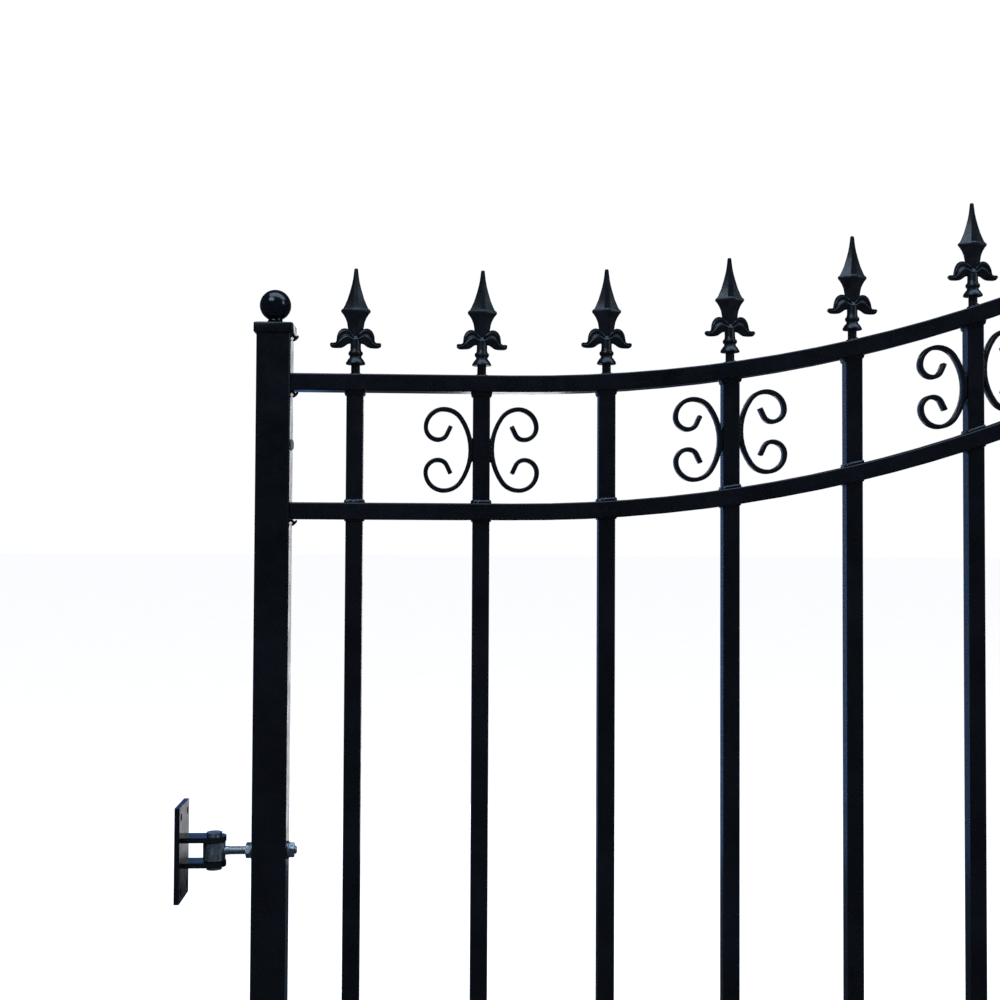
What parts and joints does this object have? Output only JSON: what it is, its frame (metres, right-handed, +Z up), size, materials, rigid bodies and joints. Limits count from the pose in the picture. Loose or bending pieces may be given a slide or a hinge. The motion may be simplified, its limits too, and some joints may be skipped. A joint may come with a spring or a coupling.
{
  "type": "double garden gate",
  "caption": "Double-leaf steel garden gate with a bell-curved top, spear finials, scrolls between twin rails, ball-capped stiles, pin hinges, sliding latch and drop rod.",
  "frame": {"origin": "on the ground at the meeting line, in the middle of the gate's thickness", "axes": "+X along the gate to the right seen from the front, +Y through the gate towards the side that the leaves open to, +Z up"},
  "size_m": [3.644, 0.12, 1.8061],
  "materials": {
    "frame_black": "near-black gloss powder coat over welded steel tube",
    "cast_black": "near-black gloss coat over slightly rough castings",
    "scroll_black": "near-black gloss coat over bent flat bar",
    "cap_black": "near-black gloss coat over pressed caps",
    "ball_black": "high-gloss black coat over turned balls",
    "hinge_black": "satin black coat over welded hinge plates",
    "rod_black": "satin black coat, rubbed where the guides hold it",
    "zinc_steel": "dull zinc-plated steel",
    "screw_black": "black-coated screws",
    "plug_plastic": "matte dark grey moulded plastic"
  },
  "bodies": {
    "posts_side": {"left_post_plates": "hinge_black", "left_hinge_pins": "zinc_steel", "right_post_plates": "hinge_black", "right_hinge_pins": "zinc_steel"},
    "left_leaf": {"left_hinge_stile": "frame_black", "left_meeting_stile": "frame_black", "left_top_rail": "frame_black", "left_second_rail": "frame_black", "left_lower_rail": "frame_black", "left_bottom_rail": "frame_black", "left_picket_01": "frame_black", "left_picket_02": "frame_black", "left_picket_03": "frame_black", "left_picket_04": "frame_black", "left_picket_05": "frame_black", "left_picket_06": "frame_black", "left_picket_07": "frame_black", "left_picket_08": "frame_black", "left_picket_09": "frame_black", "left_picket_10": "frame_black", "left_picket_11": "frame_black", "left_finials": "cast_black", "left_scrolls": "scroll_black", "left_stile_caps": "cap_black", "left_cap_balls": "ball_black", "left_tube_plugs": "plug_plastic", "left_eye_bolts": "zinc_steel", "left_hinge_nuts": "zinc_steel", "left_rail_screws": "screw_black", "latch_guide": "zinc_steel"},
    "right_leaf": {"right_hinge_stile": "frame_black", "right_meeting_stile": "frame_black", "right_top_rail": "frame_black", "right_second_rail": "frame_black", "right_lower_rail": "frame_black", "right_bottom_rail": "frame_black", "right_picket_01": "frame_black", "right_picket_02": "frame_black", "right_picket_03": "frame_black", "right_picket_04": "frame_black", "right_picket_05": "frame_black", "right_picket_06": "frame_black", "right_picket_07": "frame_black", "right_picket_08": "frame_black", "right_picket_09": "frame_black", "right_picket_10": "frame_black", "right_picket_11": "frame_black", "right_finials": "cast_black", "right_scrolls": "scroll_black", "right_stile_caps": "cap_black", "right_cap_balls": "ball_black", "right_tube_plugs": "plug_plastic", "right_eye_bolts": "zinc_steel", "right_hinge_nuts": "zinc_steel", "right_rail_screws": "screw_black", "latch_keeper": "zinc_steel", "drop_rod_guides": "hinge_black"},
    "latch": {"latch_bolt": "zinc_steel", "latch_handle": "hinge_black"},
    "drop_rod": {"drop_rod": "rod_black"}
  },
  "joints": [
    {"name": "left_leaf_swing", "type": "hinge", "parent": "posts_side", "child": "left_leaf", "pos_m": [-1.781, 0, 0], "axis": [0, 0, 1], "range_deg": [0, 100]},
    {"name": "right_leaf_swing", "type": "hinge", "parent": "posts_side", "child": "right_leaf", "pos_m": [1.781, 0, 0], "axis": [0, 0, -1], "range_deg": [0, 100]},
    {"name": "latch_slide", "type": "slide", "parent": "left_leaf", "child": "latch", "axis": [1, 0, 0], "range_m": [0, 0.04]},
    {"name": "drop_rod_lift", "type": "slide", "parent": "right_leaf", "child": "drop_rod", "axis": [0, 0, 1], "range_m": [0, 0.12]}
  ]
}
